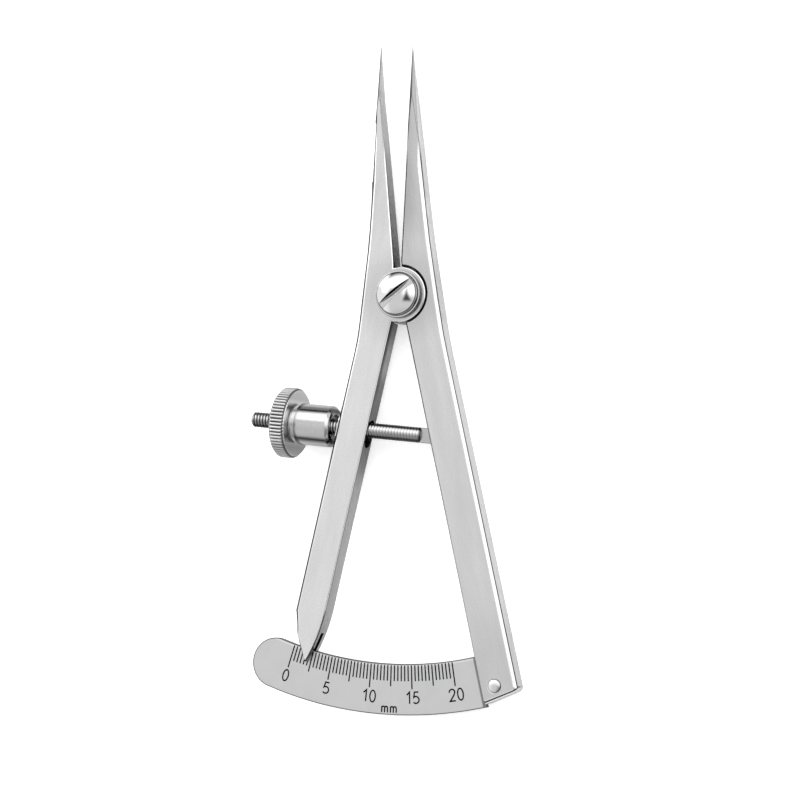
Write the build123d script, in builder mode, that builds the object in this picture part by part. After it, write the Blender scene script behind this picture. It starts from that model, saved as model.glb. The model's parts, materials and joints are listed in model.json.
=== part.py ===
from build123d import *
import os
from dataclasses import dataclass
from math import cos, pi, radians, sin

# Surgical caliper, in millimetres and degrees.
# It lies flat with its front up: Y runs towards the needle points, Z rises from
# the plane of the back faces, and the pivot's axis is the Z axis. The moving leg
# is drawn where the photograph shows it, with its pointer just past the 2 mm mark.

# How far a cutting shape reaches past the faces that it cuts
cut_margin_length = 1.0

# Both legs
leg_thickness = 3.0
lobe_radius = 4.3
lap_gap = 0.04
turning_gap = 0.1
arm_head_distance = 10.0
waist_height = 0.0
prong_foot_height = 5.4
prong_root_height = 7.0
prong_middle_height = 18.0
needle_height = 30.5
needle_thickness = 2.1
thinning_height = 5.0
point_flat_width = 0.12

# Fixed leg, on the right
fixed_lean = 12.3
fixed_inner_offset = 0.05
fixed_arm_width = 5.5
fixed_arm_length = 63.3
fixed_end_skew_length = 0.95
fixed_corner_radius = 0.8
fixed_waist_distance = 6.1
fixed_foot_distance = 0.27
fixed_root_distance = 5.02
fixed_middle_distance = 0.88
fixed_middle_width = 2.82
fixed_needle_distance = 1.4
fixed_needle_width = 1.08
fixed_tip_distance = 1.7
fixed_tip_height = 39.0

# Moving leg, on the left
moving_lean = 13.75
moving_inner_offset = 0.33
moving_arm_width = 5.1
moving_waist_distance = 6.37
moving_foot_distance = 1.0
moving_root_distance = 5.5
moving_middle_distance = 2.1
moving_middle_width = 2.65
moving_needle_distance = 3.25
moving_needle_width = 0.72
moving_tip_distance = 3.6
moving_tip_height = 39.5
pointer_over_plate_distance = 1.9
pointer_length = 7.3
pointer_skew_length = 1.0
pointer_offset = 1.88
pointer_bulge_height = 0.35
pointer_slot_length = 2.8
pointer_slot_gap = 0.1

# Ground needle points: half-diagonals of the four-sided point for each mm below its tip
ground_length = 17.0
ground_spread_across = 0.15
ground_spread_through = 0.131
ground_block_width = 9.0

# Pivot screw and its washer
pivot_shank_radius = 1.5
pivot_play_gap = 0.05
washer_radius = 3.65
washer_thickness = 0.6
washer_gap = 0.03
head_radius = 3.3
head_rim_height = 0.55
head_dome_height = 1.15
driver_slot_width = 0.95
driver_slot_depth = 0.95
driver_slot_angle = 39.5
thread_seat_gap = 0.01

# Scale plate, engraved from 0 to 20
plate_thickness = 0.8
plate_above_end_distance = 7.2
plate_width = 7.65
plate_end_angle = 20.6
plate_seat_gap = 0.03
tang_inner_inset = 0.2
tang_outer_inset = 1.85
tang_width = 4.4
zero_mark_angle = -18.4
full_mark_angle = 8.24
division_count = 48
count_per_medium_mark = 6
count_per_long_mark = 12
count_per_numeral = 5
mark_depth = 0.08
mark_width = 0.16
mark_inset = 0.25
short_mark_length = 2.3
medium_mark_length = 3.1
long_mark_length = 3.5
numeral_inset = 5.05
numeral_height = 1.9
numeral_width = 1.05
numeral_pitch = 1.3
numeral_stroke_width = 0.17
unit_outer_inset = 0.8
unit_angle = -1.9
unit_height = 1.05
unit_width = 1.1
unit_pitch = 1.42

# Rivet that holds the plate's tang
rivet_end_inset = 0.95
rivet_offset = 2.15
rivet_shank_radius = 0.6
rivet_head_radius = 1.02
rivet_rim_height = 0.08
rivet_dome_height = 0.32
rivet_gap = 0.01

# Adjusting screw, hung on a trunnion pin in the fixed leg
trunnion_distance = 23.28
screw_tilt = 6.85
screw_radius = 1.2
screw_end_length = 5.1
thread_pitch = 0.5
thread_depth = 0.22
thread_start = 4.45
flat_tang_width = 2.3
flat_tang_thickness = 1.2
fork_side_gap = 0.05
fork_swing_gap = 0.45
trunnion_radius = 0.7
trunnion_length = 2.4
trunnion_play_gap = 0.03
screw_slot_gap = 0.05
screw_slot_travel_length = 1.85
screw_slot_shift_distance = 0.3

# Thrust sleeve and thumb nut, both on the adjusting screw
screw_play_gap = 0.1
sleeve_standoff_gap = 0.8
sleeve_length = 5.8
sleeve_radius = 3.22
sleeve_chamfer_width = 0.4
sleeve_back_chamfer_width = 0.13
sleeve_recess_radius = 1.9
sleeve_recess_depth = 0.8
nut_gap = 0.1
collar_radius = 2.85
collar_length = 0.5
wheel_radius = 5.5
wheel_width = 2.6
wheel_bevel_width = 0.45
knurl_tooth_count = 62
knurl_depth = 0.22

# Places that follow from the sizes above
middle = leg_thickness / 2
within_lobe = lobe_radius / 2
plate_bottom = middle - plate_thickness / 2
plate_top = middle + plate_thickness / 2
plate_inner_radius = fixed_arm_length - plate_above_end_distance
plate_outer_radius = plate_inner_radius + plate_width
tang_start = plate_inner_radius + tang_inner_inset
tang_end = plate_outer_radius - tang_outer_inset
mark_start_radius = plate_inner_radius + mark_inset
numeral_radius = plate_inner_radius + numeral_inset
unit_radius = plate_outer_radius - unit_outer_inset
rivet_distance = tang_end - rivet_end_inset
pointer_distance = plate_inner_radius + pointer_over_plate_distance
pointer_shoulder = pointer_distance - pointer_length
pointer_slot_start = plate_inner_radius - pointer_slot_length


@dataclass(frozen=True)
class Leg:
    """Sizes of one leg; side is 1 on the right and -1 on the left."""

    side: int
    lean: float
    inner_offset: float
    arm_width: float
    waist_distance: float
    foot_distance: float
    root_distance: float
    middle_distance: float
    middle_width: float
    needle_distance: float
    needle_width: float
    tip_distance: float
    tip_height: float

    def along_arm(self, distance, offset):
        """Point of the arm, at a distance down it and an offset outwards from the pivot."""
        angle = radians(self.lean)
        across = distance * sin(angle) + offset * cos(angle)
        return (self.side * across, offset * sin(angle) - distance * cos(angle))

    def inner(self, distance):
        """Point of the arm's inner edge."""
        return self.along_arm(distance, self.inner_offset)

    def outer(self, distance):
        """Point of the arm's outer edge."""
        return self.along_arm(distance, self.inner_offset + self.arm_width)

    def at(self, distance, height):
        """Point at a distance from the middle line towards this leg's side."""
        return (self.side * distance, height)


fixed = Leg(
    1, fixed_lean, fixed_inner_offset, fixed_arm_width, fixed_waist_distance,
    fixed_foot_distance, fixed_root_distance, fixed_middle_distance, fixed_middle_width,
    fixed_needle_distance, fixed_needle_width, fixed_tip_distance, fixed_tip_height,
)
moving = Leg(
    -1, moving_lean, moving_inner_offset, moving_arm_width, moving_waist_distance,
    moving_foot_distance, moving_root_distance, moving_middle_distance, moving_middle_width,
    moving_needle_distance, moving_needle_width, moving_tip_distance, moving_tip_height,
)


def draw_prong_and_waist(leg):
    """Edge lines from the arm's outer head, round the needle point, to the arm's inner head."""
    outer_tip = leg.at(leg.tip_distance + point_flat_width / 2, leg.tip_height)
    inner_tip = leg.at(leg.tip_distance - point_flat_width / 2, leg.tip_height)
    needle_outer = leg.at(leg.needle_distance + leg.needle_width, needle_height)
    needle_inner = leg.at(leg.needle_distance, needle_height)
    arm_up = Vector(*leg.outer(0)) - Vector(*leg.outer(arm_head_distance))
    Spline(
        leg.outer(arm_head_distance),
        leg.at(leg.waist_distance, waist_height),
        leg.at(leg.root_distance, prong_root_height),
        leg.at(leg.middle_distance + leg.middle_width, prong_middle_height),
        needle_outer,
        outer_tip,
        tangents=(arm_up, Vector(*outer_tip) - Vector(*needle_outer)),
    )
    Line(outer_tip, inner_tip)
    Polyline(
        inner_tip,
        needle_inner,
        leg.at(leg.middle_distance, prong_middle_height),
        leg.at(leg.foot_distance, prong_foot_height),
        leg.inner(within_lobe),
    )


def draw_side_profile(leg, arm_end):
    """Outline seen from the side: full thickness below, thinning towards the needle."""
    past_tip = leg.tip_height + cut_margin_length
    past_end = -arm_end - cut_margin_length
    half = needle_thickness / 2
    Polyline(
        (past_end, 0),
        (thinning_height, 0),
        (needle_height, middle - half),
        (past_tip, middle - half),
        (past_tip, middle + half),
        (needle_height, middle + half),
        (thinning_height, leg_thickness),
        (past_end, leg_thickness),
        close=True,
    )


def ground_waste(leg):
    """Block round a needle point with the four-sided ground point taken out of it."""
    root_height = leg.tip_height - ground_length
    share = (root_height - prong_middle_height) / (needle_height - prong_middle_height)
    middle_centre = leg.middle_distance + leg.middle_width / 2
    needle_centre = leg.needle_distance + leg.needle_width / 2
    root_distance = middle_centre + share * (needle_centre - middle_centre)
    flat = point_flat_width / 2
    with BuildPart() as waste:
        with BuildSketch(Plane.XZ.offset(-root_height)):
            with Locations(leg.at(root_distance, middle)):
                Rectangle(ground_block_width, ground_block_width)
        extrude(amount=-ground_length - cut_margin_length)
        with BuildSketch(Plane.XZ.offset(-root_height)) as root:
            with Locations(leg.at(root_distance, middle)):
                draw_diamond(
                    ground_spread_across * ground_length,
                    ground_spread_through * ground_length,
                )
        with BuildSketch(Plane.XZ.offset(-leg.tip_height)) as tip:
            with Locations(leg.at(leg.tip_distance, middle)):
                draw_diamond(flat, flat)
        loft(mode=Mode.SUBTRACT)
    return waste.part


def draw_diamond(half_across, half_through):
    """Diamond given by its two half-diagonals."""
    Polygon((half_across, 0), (0, half_through), (-half_across, 0), (0, -half_through))


def draw_domed_pin(shank_radius, length, head_radius, rim, dome):
    """Half profile of a pin with a flat end at zero and a domed head above its length."""
    cap_radius = (head_radius**2 + dome**2) / (2 * dome)
    top = length + rim + dome
    half_way = head_radius / 2
    drop = cap_radius - (cap_radius**2 - half_way**2) ** 0.5
    Polyline(
        (0, top),
        (0, 0),
        (shank_radius, 0),
        (shank_radius, length),
        (head_radius, length),
        (head_radius, length + rim),
    )
    ThreePointArc((head_radius, length + rim), (half_way, top - drop), (0, top))


def on_scale(radius, angle):
    """Point of the scale, with the angle counted from straight down towards the right."""
    return (radius * sin(radians(angle)), -radius * cos(radians(angle)))


def arm_slab(leg, start, end, near, far):
    """Corners of an oblong that lies along an arm."""
    return (
        leg.along_arm(start, near),
        leg.along_arm(start, far),
        leg.along_arm(end, far),
        leg.along_arm(end, near),
    )


# The adjusting screw's axis, from the trunnion to where it crosses the moving arm
trunnion_place = fixed.along_arm(trunnion_distance, fixed_inner_offset + fixed_arm_width / 2)
trunnion = Vector(*trunnion_place, middle)
screw_angle = radians(screw_tilt)
screw_direction = Vector(-cos(screw_angle), sin(screw_angle), 0)
screw_axis = Axis(trunnion, screw_direction)
screw_side = Plane(origin=trunnion, x_dir=screw_direction, z_dir=(0, 0, 1))
moving_angle = radians(moving.lean)
outward = Vector(-cos(moving_angle), sin(moving_angle), 0)
arm_down = Vector(-sin(moving_angle), -cos(moving_angle), 0)
level = Vector(*trunnion_place, 0)
approach = outward.dot(screw_direction)
distance_to_outer = (moving_inner_offset + moving_arm_width - outward.dot(level)) / approach
distance_to_middle = (moving_inner_offset + moving_arm_width / 2 - outward.dot(level)) / approach
crossing = trunnion + screw_direction * distance_to_middle
sleeve_start = distance_to_outer + sleeve_standoff_gap
sleeve_end = sleeve_start + sleeve_length
collar_start = sleeve_end + nut_gap
wheel_start = collar_start + collar_length
wheel_end = wheel_start + wheel_width
bore_radius = screw_radius + screw_play_gap
screw_length = wheel_end + screw_end_length

fixed_waste = ground_waste(fixed)
moving_waste = ground_waste(moving)

# Fixed leg: prong, back half of the lap joint, and the arm that carries plate and screw
with BuildPart() as fixed_leg:
    with BuildSketch():
        with BuildLine():
            draw_prong_and_waist(fixed)
            Polyline(
                fixed.inner(within_lobe),
                fixed.inner(fixed_arm_length),
                fixed.outer(fixed_arm_length - fixed_end_skew_length),
                fixed.outer(arm_head_distance),
            )
        blank = make_face()
        end_corner = Vector(*fixed.outer(fixed_arm_length - fixed_end_skew_length))
        fillet(blank.vertices().sort_by_distance(end_corner)[0], fixed_corner_radius)
    extrude(amount=leg_thickness)
    with BuildSketch(Plane.YZ):
        with BuildLine():
            draw_side_profile(fixed, fixed_arm_length)
        make_face()
    extrude(amount=3 * fixed_arm_length, both=True, mode=Mode.INTERSECT)
    with BuildSketch(Plane.XY.offset(middle - lap_gap / 2)):
        Circle(lobe_radius + turning_gap)
    extrude(amount=leg_thickness, mode=Mode.SUBTRACT)
    with BuildSketch():
        Circle(lobe_radius)
    extrude(amount=middle - lap_gap / 2)
    with BuildSketch():
        Circle(pivot_shank_radius + thread_seat_gap)
    extrude(amount=leg_thickness, mode=Mode.SUBTRACT)
    with BuildSketch(Plane.XY.offset(plate_bottom - plate_seat_gap)):
        with BuildLine():
            Polyline(
                *arm_slab(
                    fixed,
                    tang_start - plate_seat_gap,
                    tang_end + plate_seat_gap,
                    fixed_inner_offset - cut_margin_length,
                    fixed_inner_offset + tang_width + plate_seat_gap,
                ),
                close=True,
            )
        make_face()
    extrude(amount=plate_thickness + 2 * plate_seat_gap, mode=Mode.SUBTRACT)
    with BuildSketch():
        with Locations(fixed.along_arm(rivet_distance, fixed_inner_offset + rivet_offset)):
            Circle(rivet_shank_radius + rivet_gap)
    extrude(amount=leg_thickness, mode=Mode.SUBTRACT)
    with BuildSketch(screw_side.offset(-flat_tang_thickness / 2 - fork_side_gap)):
        fork_radius = flat_tang_width / 2 + fork_swing_gap
        Circle(fork_radius)
        with Locations((fixed_arm_width, 0)):
            Rectangle(2 * fixed_arm_width, 2 * fork_radius)
    extrude(amount=flat_tang_thickness + 2 * fork_side_gap, mode=Mode.SUBTRACT)
    with BuildSketch():
        with Locations(trunnion_place):
            Circle(trunnion_radius + thread_seat_gap)
    extrude(amount=trunnion_length + trunnion_play_gap, mode=Mode.SUBTRACT)
    add(fixed_waste, mode=Mode.SUBTRACT)

# Moving leg: prong, front half of the lap joint, arm with a slot for the screw, slotted pointer
with BuildPart() as moving_leg:
    with BuildSketch():
        pointer_tip = Vector(*moving.along_arm(pointer_distance, pointer_offset))
        outer_shoulder = Vector(*moving.outer(pointer_shoulder))
        inner_shoulder = Vector(*moving.inner(pointer_shoulder - pointer_skew_length))
        with BuildLine():
            draw_prong_and_waist(moving)
            Line(moving.inner(within_lobe), inner_shoulder)
            inner_middle = (inner_shoulder + pointer_tip) / 2 - outward * pointer_bulge_height
            ThreePointArc(inner_shoulder, inner_middle, pointer_tip)
            outer_middle = (outer_shoulder + pointer_tip) / 2 + outward * pointer_bulge_height
            ThreePointArc(pointer_tip, outer_middle, outer_shoulder)
            Line(outer_shoulder, moving.outer(arm_head_distance))
        make_face()
    extrude(amount=leg_thickness)
    with BuildSketch(Plane.YZ):
        with BuildLine():
            draw_side_profile(moving, pointer_distance)
        make_face()
    extrude(amount=3 * pointer_distance, both=True, mode=Mode.INTERSECT)
    with BuildSketch():
        Circle(lobe_radius + turning_gap)
    extrude(amount=middle + lap_gap / 2, mode=Mode.SUBTRACT)
    with BuildSketch(Plane.XY.offset(middle + lap_gap / 2)):
        Circle(lobe_radius)
    extrude(amount=middle - lap_gap / 2)
    with BuildSketch():
        Circle(pivot_shank_radius + pivot_play_gap)
    extrude(amount=leg_thickness, mode=Mode.SUBTRACT)
    with BuildSketch(Plane.XY.offset(plate_bottom - pointer_slot_gap)):
        with BuildLine():
            Polyline(
                *arm_slab(
                    moving,
                    pointer_slot_start,
                    pointer_distance + cut_margin_length,
                    moving_inner_offset - cut_margin_length,
                    moving_inner_offset + moving_arm_width + cut_margin_length,
                ),
                close=True,
            )
        make_face()
    extrude(amount=plate_thickness + 2 * pointer_slot_gap, mode=Mode.SUBTRACT)
    slot_centre = crossing + arm_down * screw_slot_shift_distance
    with BuildSketch(Plane(origin=slot_centre, x_dir=arm_down, z_dir=outward)):
        slot_diameter = 2 * (screw_radius + screw_slot_gap)
        SlotOverall(slot_diameter + screw_slot_travel_length, slot_diameter)
    extrude(amount=moving_arm_width, both=True, mode=Mode.SUBTRACT)
    add(moving_waste, mode=Mode.SUBTRACT)

# Pivot screw: shank through both lobes, domed head with one driver slot
with BuildPart() as pivot_screw:
    head_seat = leg_thickness + washer_gap + washer_thickness
    with BuildSketch(Plane.XZ):
        with BuildLine():
            draw_domed_pin(pivot_shank_radius, head_seat, head_radius, head_rim_height, head_dome_height)
        make_face()
    revolve(axis=Axis.Z)
    head_top = head_seat + head_rim_height + head_dome_height
    with BuildSketch(Plane.XY.offset(head_top)):
        Rectangle(3 * head_radius, driver_slot_width, rotation=driver_slot_angle)
    extrude(amount=-driver_slot_depth, mode=Mode.SUBTRACT)

# Washer under the head
with BuildPart() as pivot_washer:
    with BuildSketch(Plane.XY.offset(leg_thickness + washer_gap)):
        Circle(washer_radius)
        Circle(pivot_shank_radius + pivot_play_gap, mode=Mode.SUBTRACT)
    extrude(amount=washer_thickness)

# Engraved characters, each drawn once about its own centre
stroke = numeral_stroke_width


def in_numeral(across, up):
    """Point of a numeral's line, each way in shares of half its width and height."""
    return (across * (numeral_width - stroke) / 2, up * (numeral_height - stroke) / 2)


def in_unit(across, up):
    """Point of the unit letter's line, each way in shares of half its width and height."""
    return (across * (unit_width - stroke) / 2, up * (unit_height - stroke) / 2)


with BuildSketch() as zero:
    Ellipse(numeral_width / 2, numeral_height / 2)
    Ellipse(numeral_width / 2 - stroke, numeral_height / 2 - stroke, mode=Mode.SUBTRACT)

with BuildSketch() as one:
    with BuildLine():
        Polyline(in_numeral(-0.5, 0.5), in_numeral(0.5, 1), in_numeral(0.5, -1))
    trace(line_width=stroke)

with BuildSketch() as two:
    with BuildLine():
        crown = ThreePointArc(in_numeral(-1, 0.5), in_numeral(0, 1), in_numeral(1, 0.5))
        Polyline(crown @ 1, in_numeral(0.6, 0), in_numeral(-1, -1), in_numeral(1, -1))
    trace(line_width=stroke)

with BuildSketch() as five:
    with BuildLine():
        back = Polyline(in_numeral(0.8, 1), in_numeral(-0.6, 1), in_numeral(-0.9, 0.1))
        ThreePointArc(back @ 1, in_numeral(1, -0.35), in_numeral(-1, -0.75))
    trace(line_width=stroke)

with BuildSketch() as letter_m:
    with BuildLine():
        Line(in_unit(-1, -1), in_unit(-1, 1))
    trace(line_width=stroke)
    for start in (-1, 0):
        with BuildLine():
            arch = ThreePointArc(in_unit(start, 0.4), in_unit(start + 0.5, 1), in_unit(start + 1, 0.4))
            Line(arch @ 1, in_unit(start + 1, -1))
        trace(line_width=stroke)

characters = {"0": zero.sketch, "1": one.sketch, "2": two.sketch, "5": five.sketch}


def engrave_word(glyphs, radius, angle, pitch):
    """Lay glyphs side by side along the scale, upright towards the pivot."""
    first = angle - (len(glyphs) - 1) * pitch / 2 / radius * 180 / pi
    for number, glyph in enumerate(glyphs):
        turn = first + number * pitch / radius * 180 / pi
        with Locations(Location((*on_scale(radius, turn), 0), (0, 0, turn))):
            add(glyph)


# Scale plate: an arc about the pivot, round at its free end, with a tang in the fixed leg
with BuildPart() as scale_plate:
    with BuildSketch(Plane.XY.offset(plate_bottom)):
        Circle(plate_outer_radius)
        Circle(plate_inner_radius, mode=Mode.SUBTRACT)
        with BuildLine():
            leg_side = fixed_inner_offset - plate_seat_gap
            far = 2 * plate_outer_radius
            Polyline(
                fixed.along_arm(0, leg_side),
                fixed.along_arm(far, leg_side),
                on_scale(far, -plate_end_angle),
                close=True,
            )
        make_face(mode=Mode.INTERSECT)
        end_radius = (plate_outer_radius - plate_inner_radius) / 2
        with Locations(on_scale(plate_inner_radius + end_radius, -plate_end_angle)):
            Circle(end_radius)
        with BuildLine():
            Polyline(
                *arm_slab(
                    fixed,
                    tang_start,
                    tang_end,
                    fixed_inner_offset - cut_margin_length,
                    fixed_inner_offset + tang_width,
                ),
                close=True,
            )
        make_face()
        with Locations(fixed.along_arm(rivet_distance, fixed_inner_offset + rivet_offset)):
            Circle(rivet_shank_radius + rivet_gap, mode=Mode.SUBTRACT)
    extrude(amount=plate_thickness)
    with BuildSketch(Plane.XY.offset(plate_top)):
        step = (full_mark_angle - zero_mark_angle) / division_count
        for division in range(division_count + 1):
            if division % count_per_long_mark == 0:
                length = long_mark_length
            elif division % count_per_medium_mark == 0:
                length = medium_mark_length
            else:
                length = short_mark_length
            turn = zero_mark_angle + division * step
            centre = on_scale(mark_start_radius + length / 2, turn)
            with Locations(Location((*centre, 0), (0, 0, turn))):
                Rectangle(mark_width, length)
        for order in range(division_count // count_per_long_mark + 1):
            turn = zero_mark_angle + order * count_per_long_mark * step
            glyphs = [characters[digit] for digit in str(order * count_per_numeral)]
            engrave_word(glyphs, numeral_radius, turn, numeral_pitch)
        engrave_word([letter_m.sketch, letter_m.sketch], unit_radius, unit_angle, unit_pitch)
    extrude(amount=-mark_depth, mode=Mode.SUBTRACT)

# Rivet through the leg and the plate's tang
with BuildPart() as plate_rivet:
    rivet_place = fixed.along_arm(rivet_distance, fixed_inner_offset + rivet_offset)
    rivet_side = Plane(origin=(*rivet_place, 0), x_dir=(1, 0, 0), z_dir=(0, -1, 0))
    with BuildSketch(rivet_side):
        with BuildLine():
            draw_domed_pin(
                rivet_shank_radius, leg_thickness, rivet_head_radius, rivet_rim_height, rivet_dome_height
            )
        make_face()
    revolve(axis=Axis((*rivet_place, 0), (0, 0, 1)))

# Adjusting screw: threaded rod whose flat tang swings on the trunnion pin
with BuildPart() as adjusting_screw:
    root_radius = screw_radius - thread_depth
    turns = int((screw_length - thread_start) / thread_pitch) - 1
    thread = [(thread_start, root_radius)]
    for turn_number in range(turns):
        base = thread_start + (turn_number + 0.5) * thread_pitch
        thread.append((base, root_radius))
        thread.append((base + thread_pitch / 2, screw_radius))
    thread.append((thread_start + (turns + 0.5) * thread_pitch, root_radius))
    thread.append((screw_length, root_radius))
    with BuildSketch(screw_side):
        with BuildLine():
            Polyline((thread_start, 0), *thread, (screw_length, 0), close=True)
        make_face()
    revolve(axis=screw_axis)
    with BuildSketch(screw_side.offset(-flat_tang_thickness / 2)):
        Circle(flat_tang_width / 2)
        with Locations((thread_start / 2, 0)):
            Rectangle(thread_start, flat_tang_width)
        Circle(trunnion_radius + trunnion_play_gap, mode=Mode.SUBTRACT)
    extrude(amount=flat_tang_thickness)

# Trunnion pin, pressed in from the back
with BuildPart() as trunnion_pin:
    with BuildSketch():
        with Locations(trunnion_place):
            Circle(trunnion_radius)
    extrude(amount=trunnion_length)

# Thrust sleeve: smooth barrel between the nut and the moving arm
with BuildPart() as thrust_sleeve:
    recess_floor = sleeve_start + sleeve_recess_depth
    with BuildSketch(screw_side):
        with BuildLine():
            Polyline(
                (recess_floor, bore_radius),
                (recess_floor, sleeve_recess_radius),
                (sleeve_start, sleeve_recess_radius),
                (sleeve_start, sleeve_radius - sleeve_chamfer_width),
                (sleeve_start + sleeve_chamfer_width, sleeve_radius),
                (sleeve_end - sleeve_back_chamfer_width, sleeve_radius),
                (sleeve_end, sleeve_radius - sleeve_back_chamfer_width),
                (sleeve_end, bore_radius),
                close=True,
            )
        make_face()
    revolve(axis=screw_axis)


def knurl_outline():
    """Points round the wheel's rim, up and down between the crests and the grooves."""
    points = []
    for half_tooth in range(2 * knurl_tooth_count):
        angle = pi * half_tooth / knurl_tooth_count
        radius = wheel_radius if half_tooth % 2 == 0 else wheel_radius - knurl_depth
        points.append((radius * cos(angle), radius * sin(angle)))
    return points


# Thumb nut: knurled wheel with bevelled rims, and a short collar against the sleeve
with BuildPart() as thumb_nut:
    wheel_foot = trunnion + screw_direction * wheel_start
    with BuildSketch(Plane(origin=wheel_foot, x_dir=(0, 0, 1), z_dir=screw_direction)):
        with BuildLine():
            Polyline(*knurl_outline(), close=True)
        make_face()
    extrude(amount=wheel_width)
    with BuildSketch(screw_side):
        with BuildLine():
            Polyline(
                (wheel_start, 0),
                (wheel_start, wheel_radius - wheel_bevel_width),
                (wheel_start + wheel_bevel_width, wheel_radius),
                (wheel_end - wheel_bevel_width, wheel_radius),
                (wheel_end, wheel_radius - wheel_bevel_width),
                (wheel_end, 0),
                close=True,
            )
        make_face()
    revolve(axis=screw_axis, mode=Mode.INTERSECT)
    with BuildSketch(screw_side):
        with BuildLine():
            Polyline(
                (collar_start, 0),
                (collar_start, collar_radius),
                (wheel_start, collar_radius),
                (wheel_start, 0),
                close=True,
            )
        make_face()
    revolve(axis=screw_axis)
    with BuildSketch(screw_side):
        with BuildLine():
            Polyline(
                (collar_start - cut_margin_length, 0),
                (collar_start - cut_margin_length, bore_radius),
                (wheel_end + cut_margin_length, bore_radius),
                (wheel_end + cut_margin_length, 0),
                close=True,
            )
        make_face()
    revolve(axis=screw_axis, mode=Mode.SUBTRACT)

pieces = {
    "fixed_leg": fixed_leg,
    "moving_leg": moving_leg,
    "pivot_screw": pivot_screw,
    "pivot_washer": pivot_washer,
    "scale_plate": scale_plate,
    "plate_rivet": plate_rivet,
    "adjusting_screw": adjusting_screw,
    "trunnion_pin": trunnion_pin,
    "thrust_sleeve": thrust_sleeve,
    "thumb_nut": thumb_nut,
}

os.makedirs("parts", exist_ok=True)
for name, piece in pieces.items():
    piece.part.label = name
    export_step(piece.part, f"parts/{name}.step")
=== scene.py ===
"""Looks of the screw-adjusted caliper with an arc scale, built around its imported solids.

Lengths are in millimetres in the row's frame, and become metres when a mesh is written.
The front of the instrument faces +Z and its needle points face +Y.
"""

import json
import logging
import math
from dataclasses import dataclass
from enum import Enum
from typing import Any, Callable, Mapping, NamedTuple, Sequence

import bmesh
import bpy
import numpy as np
from mathutils import Matrix, Vector


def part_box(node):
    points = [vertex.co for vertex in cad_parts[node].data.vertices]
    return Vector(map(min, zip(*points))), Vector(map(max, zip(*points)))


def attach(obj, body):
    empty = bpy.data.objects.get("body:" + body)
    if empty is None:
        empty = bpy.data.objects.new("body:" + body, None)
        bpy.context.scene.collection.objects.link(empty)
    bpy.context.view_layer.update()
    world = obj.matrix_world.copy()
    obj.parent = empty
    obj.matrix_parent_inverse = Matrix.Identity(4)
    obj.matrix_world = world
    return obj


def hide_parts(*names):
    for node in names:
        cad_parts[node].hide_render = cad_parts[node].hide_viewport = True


Span = tuple[float, float]
Band = tuple[Span, Span]
Triple = tuple[float, float, float]
Cuts = tuple[float, ...]
Sockets = Mapping[Any, Any]
Piece = bpy.types.Object
Material = bpy.types.Material

LOG = logging.getLogger("caliper")
MM = 0.001
TURN = 2 * math.pi
ORIGIN: Triple = (0.0, 0.0, 0.0)

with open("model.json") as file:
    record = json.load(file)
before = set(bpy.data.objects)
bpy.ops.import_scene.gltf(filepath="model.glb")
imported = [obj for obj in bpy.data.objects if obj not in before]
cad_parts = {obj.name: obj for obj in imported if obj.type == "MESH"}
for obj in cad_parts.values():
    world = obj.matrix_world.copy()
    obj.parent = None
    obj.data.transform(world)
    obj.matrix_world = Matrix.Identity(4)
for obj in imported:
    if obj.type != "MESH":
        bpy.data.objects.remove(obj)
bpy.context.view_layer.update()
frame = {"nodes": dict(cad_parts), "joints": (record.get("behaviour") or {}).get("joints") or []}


class Finish(Enum):
    """Names of the record's material slots; the new pieces make their own materials instead."""

    LEG = "leg_steel"
    POLISHED = "polished_steel"
    THREADED = "threaded_steel"
    KNURLED = "knurled_steel"


class Side(Enum):
    """Which way a leg's outer edge faces along X."""

    RIGHT = 1.0
    LEFT = -1.0


class Signal:
    """A socket that takes part in Python arithmetic; each operation adds a Math node."""

    def __init__(self, sheet: "NodeSheet", socket: bpy.types.NodeSocket) -> None:
        """Keeps a socket and the sheet that new nodes go on."""
        self.sheet = sheet
        self.socket = socket

    def __add__(self, other: "Signal | float") -> "Signal":
        """Sum of the two."""
        return self.sheet.math("ADD", self, other)

    __radd__ = __add__

    def __sub__(self, other: "Signal | float") -> "Signal":
        """This less the other."""
        return self.sheet.math("SUBTRACT", self, other)

    def __rsub__(self, other: float) -> "Signal":
        """The other less this."""
        return self.sheet.math("SUBTRACT", other, self)

    def __mul__(self, other: "Signal | float") -> "Signal":
        """Product of the two."""
        return self.sheet.math("MULTIPLY", self, other)

    __rmul__ = __mul__

    def __pow__(self, other: float) -> "Signal":
        """This raised to a power."""
        return self.sheet.math("POWER", self, other)

    def __neg__(self) -> "Signal":
        """The same with its sign turned."""
        return self * -1.0

    def most(self, other: "Signal | float") -> "Signal":
        """The larger of the two."""
        return self.sheet.math("MAXIMUM", self, other)

    def size(self) -> "Signal":
        """The same without its sign."""
        return (self * self) ** 0.5

    def diagonal(self, other: "Signal") -> "Signal":
        """Length over this and another at right angles to it."""
        return (self * self + other * other) ** 0.5

    def dimmed(self, mask: "Signal", shade: "Signal | float") -> "Signal":
        """This, less a shade of itself where a mask is 1."""
        return self * (1.0 - mask * shade)

    def step(self, low: float, high: float) -> "Signal":
        """Smooth step from 0 at low to 1 at high; low may be the larger."""
        if low > high:
            return 1.0 - self.step(high, low)
        sockets = {"Value": self, "From Min": low, "From Max": high}
        return self.sheet.out("ShaderNodeMapRange", "Result", sockets, interpolation_type="SMOOTHSTEP")

    def band(self, rise: Span, fall: Span) -> "Signal":
        """1 between two smooth steps."""
        return self.step(*rise) * self.step(*fall)


Pair = tuple[Signal, Signal]


class Parts(NamedTuple):
    """The three numbers of a vector."""

    x: Signal
    y: Signal
    z: Signal


@dataclass(frozen=True)
class Grain:
    """One kind of noise: its frequency per millimetre on each axis, and what it moves."""

    stretch: Triple
    detail: float
    roughness: float = 0.5
    light: float = 0.0
    gloss: float = 0.0
    relief: float = 0.0


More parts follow.
